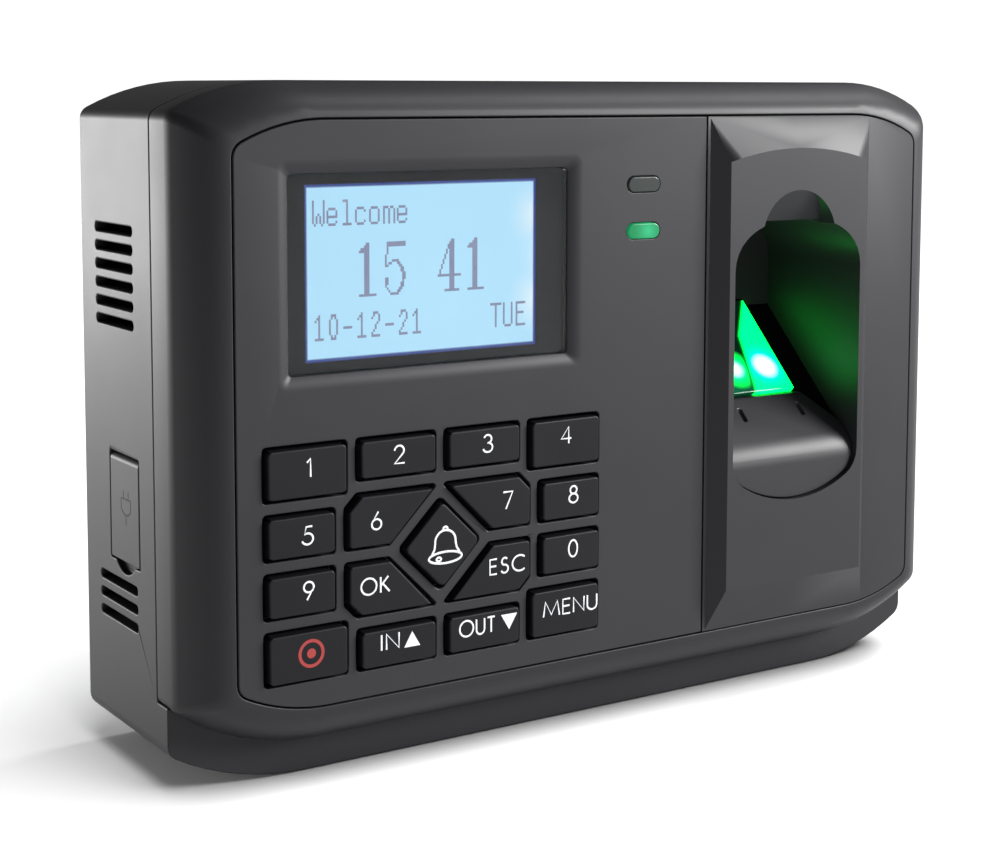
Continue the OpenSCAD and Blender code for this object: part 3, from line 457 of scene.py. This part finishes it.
dots.data.transform(Matrix.Rotation(math.radians(90), 4, "X")
                    @ Matrix.Diagonal((dot_x, dot_z, 1, 1)))
dots.data.transform(Matrix.Translation((lit_centre.x, glass_face_y - 0.00003, lit_centre.z)))
dot_black, dot_shader = new_material("darkened_display_cell")
dot_where = add_node(dot_black, "ShaderNodeTexCoord", {}).outputs["Object"]
dot_noise = add_node(dot_black, "ShaderNodeTexNoise", {"Vector": dot_where, "Scale": 900.0})
dot_colour = add_node(dot_black, "ShaderNodeMixRGB",
                      {"Fac": dot_noise.outputs["Fac"], "Color1": linear("#747b9b"),
                       "Color2": linear("#858aa9")})
dot_black.node_tree.links.new(dot_colour.outputs["Color"], dot_shader.inputs["Emission Color"])
dot_shader.inputs["Emission Strength"].default_value = 1.0
dot_shader.inputs["Base Color"].default_value = linear("#15171c")
dots.data.materials.append(dot_black)
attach(dots, "case")

# ---- Status lights ----
# Two frosted lenses, pressed through the panel from behind. The lower one is lit green.


def frosted_lens(name, colour, glow, strength):
    """Frosted polycarbonate, cloudy inside, with a satin skin."""
    material, shader = new_material(name)
    where = add_node(material, "ShaderNodeTexCoord", {}).outputs["Object"]
    cloud = add_node(material, "ShaderNodeTexNoise",
                     {"Vector": where, "Scale": 420.0, "Detail": 2.0})
    tint = add_node(material, "ShaderNodeMixRGB",
                    {"Fac": cloud.outputs["Fac"], "Color1": linear(colour[0]),
                     "Color2": linear(colour[1])})
    material.node_tree.links.new(tint.outputs["Color"], shader.inputs["Base Color"])
    shader.inputs["Roughness"].default_value = 0.28
    shader.inputs["IOR"].default_value = 1.58
    shader.inputs["Specular IOR Level"].default_value = 0.2
    if strength:
        lower_lens = (0.0085, -0.0493, 0.03475)
        middle = spot(material, where, lower_lens, 3.6, 1.3)
        ramp = add_node(material, "ShaderNodeValToRGB", {"Fac": middle})
        ramp.color_ramp.elements[0].color = linear(glow[0])
        ramp.color_ramp.elements[1].color = linear(glow[1])
        material.node_tree.links.new(ramp.outputs["Color"], shader.inputs["Emission Color"])
        shader.inputs["Emission Strength"].default_value = strength
    return material


grey_lens = frosted_lens("frosted_grey_polycarbonate", ("#252a29", "#2f3433"), None, 0)
green_lens = frosted_lens("frosted_lit_polycarbonate", ("#05301c", "#083822"),
                          ("#009a58", "#3ce09a"), 0.75)
moulding("status_lens_upper", "status_lens_upper_cap", 0.3, grey_lens)
moulding("status_lens_lower", "status_lens_lower_cap", 0.3, green_lens)

# ---- Keys ----
# Seventeen separate ABS caps on one silicone mat. Their faces are satin, with a soft edge.
key_abs = moulded_plastic("satin_black_key_abs", "#101013", "#141417", 0.44, 0.22, 0.01, sheen=0.12)
for key_node in [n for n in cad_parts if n.startswith("key_")]:
    moulding(key_node, key_node + "_cap", 0.35, key_abs, body=key_node,
             merge_mm=0.4)

# ---- Key legends ----
# White and red ink, pad-printed on the caps with a plain round-ended stroke.
# Each sign is drawn as strokes on a square one cap height high, and then laid on its cap.


def pad_ink(name, dark, light):
    """Opaque ink, half matt, uneven where the pad left it."""
    material, shader = new_material(name)
    where = add_node(material, "ShaderNodeTexCoord", {}).outputs["Object"]
    noise = add_node(material, "ShaderNodeTexNoise",
                     {"Vector": where, "Scale": 2500.0, "Detail": 2.0})
    colour = add_node(material, "ShaderNodeMixRGB",
                      {"Fac": noise.outputs["Fac"], "Color1": linear(dark),
                       "Color2": linear(light)})
    material.node_tree.links.new(colour.outputs["Color"], shader.inputs["Base Color"])
    shader.inputs["Roughness"].default_value = 0.45
    return material


white_ink = pad_ink("white_pad_print_ink", "#bfc1c4", "#cdcfd1")
red_ink = pad_ink("red_pad_print_ink", "#801a18", "#8c221e")


def arc(x, z, rx, rz, start, end, steps=14):
    """Points along part of an ellipse, its angles in degrees."""
    angles = [math.radians(start + (end - start) * i / steps) for i in range(steps + 1)]
    return [(x + rx * math.cos(a), z + rz * math.sin(a)) for a in angles]


# A sign is its width and its strokes, on a cap height of 1.
signs = {
    "1": (0.24, [[(0.0, 0.8), (0.2, 1.0), (0.2, 0.0)]]),
    "2": (0.62, [arc(0.3, 0.72, 0.28, 0.28, 175, -42) + [(0.02, 0.0), (0.62, 0.0)]]),
    "3": (0.6, [arc(0.27, 0.76, 0.24, 0.24, 160, -90) + arc(0.27, 0.27, 0.3, 0.27, 82, -165)]),
    "4": (0.68, [[(0.5, 0.0), (0.5, 1.0), (0.0, 0.3), (0.68, 0.3)]]),
    "5": (0.6, [[(0.54, 1.0), (0.2, 1.0), (0.1, 0.57)] + arc(0.26, 0.32, 0.32, 0.31, 118, -160)]),
    "6": (0.6, [[(0.4, 1.0), (0.06, 0.42)] + arc(0.3, 0.29, 0.28, 0.29, 150, 510, 28)]),
    "7": (0.6, [[(0.0, 1.0), (0.6, 1.0), (0.16, 0.0)]]),
    "8": (0.6, [arc(0.3, 0.77, 0.22, 0.23, -90, 270, 24), arc(0.3, 0.27, 0.29, 0.27, 90, 450, 24)]),
    "9": (0.6, [[(0.2, 0.0), (0.54, 0.58)] + arc(0.3, 0.71, 0.28, 0.29, -30, 330, 28)]),
    "0": (0.58, [arc(0.29, 0.5, 0.29, 0.5, 0, 360, 28)]),
    "O": (1.0, [arc(0.5, 0.5, 0.5, 0.52, 0, 360, 32)]),
    "K": (0.58, [[(0, 0), (0, 1)], [(0.5, 1.0), (0.02, 0.45)], [(0.14, 0.56), (0.58, 0.0)]]),
    "E": (0.46, [[(0.46, 1), (0, 1), (0, 0), (0.46, 0)], [(0, 0.53), (0.42, 0.53)]]),
    "S": (0.5, [arc(0.26, 0.76, 0.2, 0.24, 40, 250, 14)
                + arc(0.24, 0.27, 0.24, 0.27, 70, -155, 16)]),
    "C": (0.86, [arc(0.5, 0.5, 0.5, 0.52, 48, 312, 24)]),
    "I": (0.0, [[(0, 0), (0, 1)]]),
    "N": (0.66, [[(0, 0), (0, 1), (0.66, 0), (0.66, 1)]]),
    "U": (0.6, [[(0, 1)] + arc(0.3, 0.31, 0.3, 0.33, 180, 360, 12) + [(0.6, 1)]]),
    "T": (0.54, [[(0, 1), (0.54, 1)], [(0.27, 1), (0.27, 0)]]),
    "M": (1.0, [[(0, 0), (0.13, 1), (0.5, 0.1), (0.87, 1), (1.0, 0)]]),
    "plug": (0.8, [[(0.22, 1), (0.22, 0.76)], [(0.58, 1), (0.58, 0.76)],
                   [(0.04, 0.76), (0.76, 0.76), (0.76, 0.56)]
                   + arc(0.4, 0.54, 0.36, 0.24, 0, -180, 14) + [(0.04, 0.76)],
                   [(0.4, 0.3), (0.4, 0.0)]]),
    "bell": (1.0, [arc(0.5, 0.9, 0.07, 0.07, 200, -20, 8),
                   [(0.09, 0.26), (0.17, 0.4)] + arc(0.5, 0.58, 0.31, 0.3, 186, -6, 20)
                   + [(0.84, 0.4), (0.93, 0.26)],
                   arc(0.5, 0.16, 0.5, 0.15, 0, 360, 32), arc(0.3, 0.13, 0.07, 0.05, 0, 360, 12)]),
}


def printed(name, drawn, left_mm, low_mm, tall_mm, stroke_mm, ink, body,
            gap=0.24, wide=1.0, turn=0):
    """Signs side by side, pad-printed on the front of a key, or on the left side if turned."""
    pen = bpy.data.curves.new(name, "CURVE")
    pen.dimensions = "3D"
    pen.bevel_depth = stroke_mm / 2000
    pen.bevel_resolution = 2
    pen.use_fill_caps = True
    x = left_mm
    for sign in drawn:
        width, strokes = signs[sign]
        for stroke in strokes:
            closed = stroke[0] == stroke[-1] or math.dist(stroke[0], stroke[-1]) < 1e-6
            points = stroke[:-1] if closed else stroke
            line = pen.splines.new("POLY")
            line.use_cyclic_u = closed
            line.points.add(len(points) - 1)
            for point, (px, pz) in zip(line.points, points):
                point.co = ((x + px * tall_mm * wide) / 1000, 0, (low_mm + pz * tall_mm) / 1000, 1)
        x += (width * wide + gap) * tall_mm
    piece = bpy.data.objects.new(name, pen)
    bpy.context.scene.collection.objects.link(piece)
    only(piece)
    bpy.ops.object.convert(target="MESH")
    piece = bpy.context.active_object
    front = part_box(body)[0].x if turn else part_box(body)[0].y
    flattened = 0.12
    piece.data.transform(Matrix.Rotation(math.radians(turn), 4, "Z")
                         @ Matrix.Translation((0, front, 0))
                         @ Matrix.Diagonal((1, flattened, 1, 1)))
    only(piece)
    bpy.ops.object.mode_set(mode="EDIT")
    bpy.ops.mesh.select_all(action="SELECT")
    bpy.ops.mesh.normals_make_consistent(inside=False)
    bpy.ops.object.mode_set(mode="OBJECT")
    piece.data.materials.clear()
    piece.data.materials.append(ink)
    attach(piece, body)


# Heights, the stroke and the places of the signs' lower left corners are in millimetres.
digit = 3.27
letter = 2.9
stroke = 0.38
digits = {"1": (-67.7, -6.1), "2": (-49.9, -5.6), "3": (-30.6, -5.5), "4": (-12.8, -5.7),
          "5": (-68.65, -18.3), "6": (-54.7, -17.3), "7": (-26.1, -16.9), "8": (-10.9, -17.5),
          "9": (-68.6, -28.35), "0": (-10.9, -28.2)}
for sign, (left, low) in digits.items():
    printed("print_" + sign, [sign], left, low, digit, stroke, white_ink, "key_" + sign,
            wide=1.08)
word_places = {"OK": (-56.9, -29.15, 0.3, 1.1), "ESC": (-29.1, -29.2, 0.32, 1.16),
               "IN": (-52.7, -40.05, 0.36, 1.38), "OUT": (-35.85, -40.25, 0.24, 1.04),
               "MENU": (-16.8, -39.3, 0.28, 1.3)}
for word, (left, low, gap, wide) in word_places.items():
    printed("print_" + word.lower(), word, left, low, letter, stroke, white_ink,
            "key_" + word.lower(), gap=gap, wide=wide)
printed("print_bell", ["bell"], -42.6, -25.6, 7.2, 0.45, white_ink, "key_bell")


def printed_patch(name, sides, radius_mm, stretch, at_mm, turn, ink, body, ring_mm=0.0):
    """A filled print: a thin plate with the given number of sides, or a ring."""
    bpy.ops.object.select_all(action="DESELECT")
    bpy.ops.mesh.primitive_circle_add(vertices=sides, radius=radius_mm / 1000, fill_type="NGON",
                                      location=(0, 0, 0))
    piece = bpy.context.active_object
    piece.name = name
    bpy.ops.object.mode_set(mode="EDIT")
    bpy.ops.mesh.select_all(action="SELECT")
    if ring_mm:
        bpy.ops.mesh.inset(thickness=ring_mm / 1000)
        bpy.ops.mesh.delete(type="FACE")
        bpy.ops.mesh.select_all(action="SELECT")
    bpy.ops.object.mode_set(mode="OBJECT")
    depth = piece.modifiers.new("depth", "SOLIDIFY")
    depth.thickness = 0.00007
    depth.offset = 0
    bpy.ops.object.modifier_apply(modifier="depth")
    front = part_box(body)[0].y
    piece.data.transform(Matrix.Translation((at_mm[0] / 1000, front, at_mm[1] / 1000))
                         @ Matrix.Diagonal((stretch, 1, 1, 1))
                         @ Matrix.Rotation(math.radians(90), 4, "X")
                         @ Matrix.Rotation(math.radians(turn), 4, "Z"))
    piece.data.materials.append(ink)
    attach(piece, body)


printed_patch("print_arrow_up", 3, 1.93, 1.02, (-46.2, -39.3), 0, white_ink, "key_in")
printed_patch("print_arrow_down", 3, 2.0, 1.05, (-24.75, -38.35), 180, white_ink, "key_out")
printed_patch("print_power_ring", 48, 2.62, 1.0, (-67.1, -38.2), 0, red_ink, "key_power",
              ring_mm=0.6)
printed_patch("print_power_dot", 32, 0.9, 1.0, (-67.1, -38.2), 0, red_ink, "key_power")

# ---- Side door ----
# A small ABS flap in the left wall that swings up on a steel pin, over the socket for a stick.
# The sign printed on it tells what is behind: a plug with its two prongs.
moulding("usb_door", "usb_door_flap", 0.25, case_abs, body="usb_door")
printed("print_plug", ["plug"], 18.0, -17.8, 6.4, 0.4, border_ink, "usb_door",
        turn=-90)
steel_pin, pin_shader = new_material("drawn_steel_wire")
pin_where = add_node(steel_pin, "ShaderNodeTexCoord", {}).outputs["Object"]
pin_lines = add_node(steel_pin, "ShaderNodeTexNoise", {"Vector": pin_where, "Scale": 3000.0})
pin_gloss = add_node(steel_pin, "ShaderNodeMapRange",
                     {"Value": pin_lines.outputs["Fac"], "To Min": 0.25, "To Max": 0.4})
steel_pin.node_tree.links.new(pin_gloss.outputs["Result"], pin_shader.inputs["Roughness"])
pin_shader.inputs["Base Color"].default_value = linear("#b4b5b8")
pin_shader.inputs["Metallic"].default_value = 1.0
for node in ("door_pin", "tamper_spring"):
    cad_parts[node].material_slots[0].material = steel_pin

# ---- Inner pieces ----
# What shows through the vents, the well, the side door and the cable entry.


def metal(name, colour, rough, grain_mm):
    """Plated or bare metal with a fine uneven gloss."""
    material, shader = new_material(name)
    where = add_node(material, "ShaderNodeTexCoord", {}).outputs["Object"]
    grain = add_node(material, "ShaderNodeTexNoise",
                     {"Vector": where, "Scale": 1000 / grain_mm, "Detail": 3.0})
    gloss = add_node(material, "ShaderNodeMapRange",
                     {"Value": grain.outputs["Fac"], "To Min": rough - 0.08,
                      "To Max": rough + 0.08})
    material.node_tree.links.new(gloss.outputs["Result"], shader.inputs["Roughness"])
    tint = add_node(material, "ShaderNodeMixRGB",
                    {"Fac": grain.outputs["Fac"], "Color1": linear(colour[0]),
                     "Color2": linear(colour[1])})
    material.node_tree.links.new(tint.outputs["Color"], shader.inputs["Base Color"])
    shader.inputs["Metallic"].default_value = 1.0
    return material


zinc_plate = metal("zinc_plated_sheet_steel", ("#a3a6aa", "#bcbfc3"), 0.36, 3.0)
nickel = metal("bright_nickel_plate", ("#b7b6b2", "#c6c5c1"), 0.22, 1.5)
black_oxide = metal("black_oxide_steel", ("#2a2a2c", "#3a3a3d"), 0.38, 0.8)
solder_mask = moulded_plastic("green_solder_mask", "#0f3d22", "#1b5c33", 0.3, 0.6, 0.01)
chip_epoxy = moulded_plastic("black_chip_epoxy", "#161618", "#1d1d1f", 0.45, 0.1, 0.004)
green_nylon = moulded_plastic("green_nylon", "#2a7a48", "#318552", 0.42, 0.5, 0.006)
silicone = moulded_plastic("grey_silicone_rubber", "#85888c", "#909397", 0.55, 0.4, 0.01)
acetal = moulded_plastic("natural_acetal", "#d9d9d2", "#e4e4de", 0.4, 0.5, 0.006)
white_plastic = moulded_plastic("white_acrylic_light_guide", "#e6eaec", "#f2f5f6", 0.3, 0.5, 0.004)
finishes = {
    "sensor_camera": chip_epoxy, "sensor_board": solder_mask, "display_frame": nickel,
    "display_backlight": white_plastic, "display_board": solder_mask, "keypad_mat": silicone,
    "keypad_board": solder_mask, "status_leds": white_plastic, "main_board": solder_mask,
    "processor": chip_epoxy, "memory_chips": chip_epoxy, "backup_battery": nickel,
    "battery_holder": chip_epoxy, "buzzer": chip_epoxy,
    "network_socket": nickel, "power_terminals": green_nylon, "lock_terminals": green_nylon,
    "tamper_switch": chip_epoxy, "tamper_plunger": acetal, "panel_ribbon": white_plastic,
    "sensor_ribbon": white_plastic, "wall_plate": zinc_plate, "wall_hooks": zinc_plate,
    "case_screws": black_oxide, "plate_screw": black_oxide, "board_screws": zinc_plate,
    "panel_screws": zinc_plate,
    "usb_socket": nickel,
}
for node, finish in finishes.items():
    for material_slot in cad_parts[node].material_slots:
        material_slot.material = finish

# ---- Floor and light ----
# A plain white studio table that runs into a white backdrop. A big soft light stands to the
# right of the front, a little above the terminal, and the room is darker on the left.
bpy.ops.object.select_all(action="DESELECT")
bpy.ops.mesh.primitive_plane_add(size=60, location=(0, 0, cad_box[0][2] - 0.0002))
floor = bpy.context.active_object
floor.name = "floor"
white_table, table_shader = new_material("white_studio_table")
table_shader.inputs["Base Color"].default_value = (0.9, 0.9, 0.9, 1)
table_shader.inputs["Roughness"].default_value = 1.0
table_shader.inputs["Specular IOR Level"].default_value = 0.0
floor.data.materials.append(white_table)


def soft_light(name, at, towards, size, power):
    """A soft box, aimed at a point."""
    data = bpy.data.lights.new(name, "AREA")
    data.shape = "RECTANGLE"
    data.size, data.size_y = size
    data.energy = power
    light = bpy.data.objects.new(name, data)
    light.location = at
    light.rotation_euler = (Vector(towards) - Vector(at)).to_track_quat("-Z", "Y").to_euler()
    light.visible_camera = False
    bpy.context.scene.collection.objects.link(light)
    return light


daylight = bpy.data.lights.new("table_light", "SUN")
daylight.energy = 3.8
daylight.angle = math.radians(50)
daylight_lamp = bpy.data.objects.new("table_light", daylight)
only_the_table = bpy.data.collections.new("only_the_table")
only_the_table.objects.link(floor)
daylight_lamp.light_linking.receiver_collection = only_the_table
daylight_lamp.rotation_euler = Vector((-0.12, 0.45, -0.88)).to_track_quat("-Z", "Y").to_euler()
bpy.context.scene.collection.objects.link(daylight_lamp)
key_light = soft_light("key_light", (1.08, -0.78, 0.48), (0.02, -0.04, 0), (0.6, 0.45), 50)
not_the_table = bpy.data.collections.new("not_the_table")
not_the_table.objects.link(floor)
not_the_table.collection_objects[0].light_linking.link_state = "EXCLUDE"
key_light.light_linking.receiver_collection = not_the_table
soft_light("rim_light", (-0.6, 0.8, 0.03), (-0.09, -0.02, 0), (0.8, 0.18), 8)
soft_light("top_light", (1.0, 0.0, 1.25), (0.04, -0.03, 0.04), (0.7, 0.7), 11)
world = bpy.data.worlds.new("white_room")
world.use_nodes = True
bpy.context.scene.world = world
room = world.node_tree.nodes["Background"]
path = world.node_tree.nodes.new("ShaderNodeLightPath")
level = world.node_tree.nodes.new("ShaderNodeMapRange")
level.inputs["To Min"].default_value = 0.16
level.inputs["To Max"].default_value = 1.05
world.node_tree.links.new(path.outputs["Is Camera Ray"], level.inputs["Value"])
world.node_tree.links.new(level.outputs["Result"], room.inputs["Strength"])
room.inputs["Color"].default_value = (1, 1, 1, 1)
bpy.context.scene.view_settings.view_transform = "Standard"
